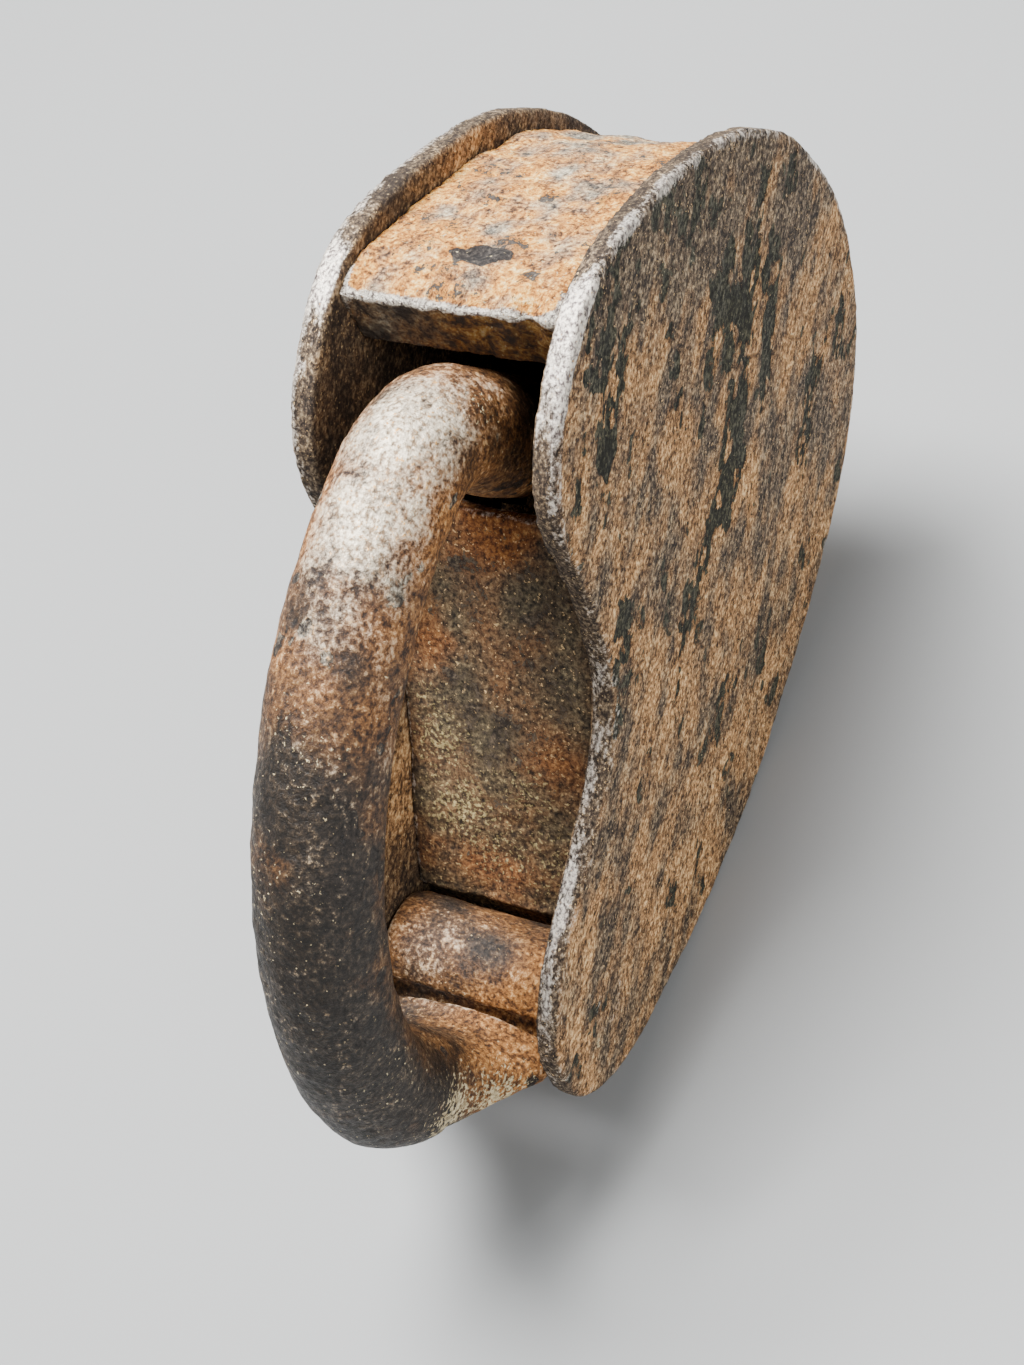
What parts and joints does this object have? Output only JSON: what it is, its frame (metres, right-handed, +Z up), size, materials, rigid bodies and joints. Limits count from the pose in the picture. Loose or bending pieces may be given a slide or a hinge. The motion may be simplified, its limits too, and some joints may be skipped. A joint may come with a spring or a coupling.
{
  "type": "rusty padlock",
  "caption": "Old heart-shaped iron padlock with a closed bow shackle, rusted all over, standing on its flank; shackle, bolt and keyhole cover move.",
  "frame": {"origin": "bottom centre of the whole lock's box, on the surface that its flank stands on", "axes": "+Z up as it stands on its flank; Y through its thickness, with the plain plate at -Y and the keyhole plate at +Y; the shackle is toward -X and up"},
  "size_m": [0.114, 0.03, 0.0855],
  "materials": {
    "plate_iron": "heavy orange-brown rust with dark scale patches, worn grey rims",
    "strip_iron": "tan and orange rust with grey spots",
    "shackle_iron": "dark purple-brown patina, lightly pitted, worn smooth",
    "rivet_iron": "rusted flush with the plates",
    "works_iron": "dull brown rust",
    "spring_steel": "dark stained spring steel",
    "cover_iron": "brown rust, edges worn"
  },
  "bodies": {
    "case": {"back_plate": "plate_iron", "front_plate": "plate_iron", "case_strip": "strip_iron", "throat_strip": "strip_iron", "hinge_rivet": "rivet_iron", "case_rivets": "rivet_iron", "toe_guide": "works_iron", "tail_guide": "works_iron", "bolt_spring": "spring_steel", "spring_stud": "works_iron", "stop_stud": "works_iron", "key_pin": "works_iron", "back_ward": "works_iron", "front_ward": "works_iron", "cover_rivet": "rivet_iron"},
    "shackle": {"shackle": "shackle_iron"},
    "bolt": {"bolt": "works_iron"},
    "keyhole_cover": {"keyhole_cover": "cover_iron"}
  },
  "joints": [
    {"name": "shackle_hinge", "type": "hinge", "parent": "case", "child": "shackle", "pos_m": [-0.03071, -0.0016, 0.01685], "axis": [0, -1, 0], "range_deg": [0, 105]},
    {"name": "bolt_slide", "type": "slide", "parent": "case", "child": "bolt", "axis": [0.7934, 0, 0.6088], "range_m": [0, 0.0045]},
    {"name": "cover_swing", "type": "hinge", "parent": "case", "child": "keyhole_cover", "pos_m": [-0.0057, 0.0118, 0.03743], "axis": [0, -1, 0], "continuous": true}
  ]
}
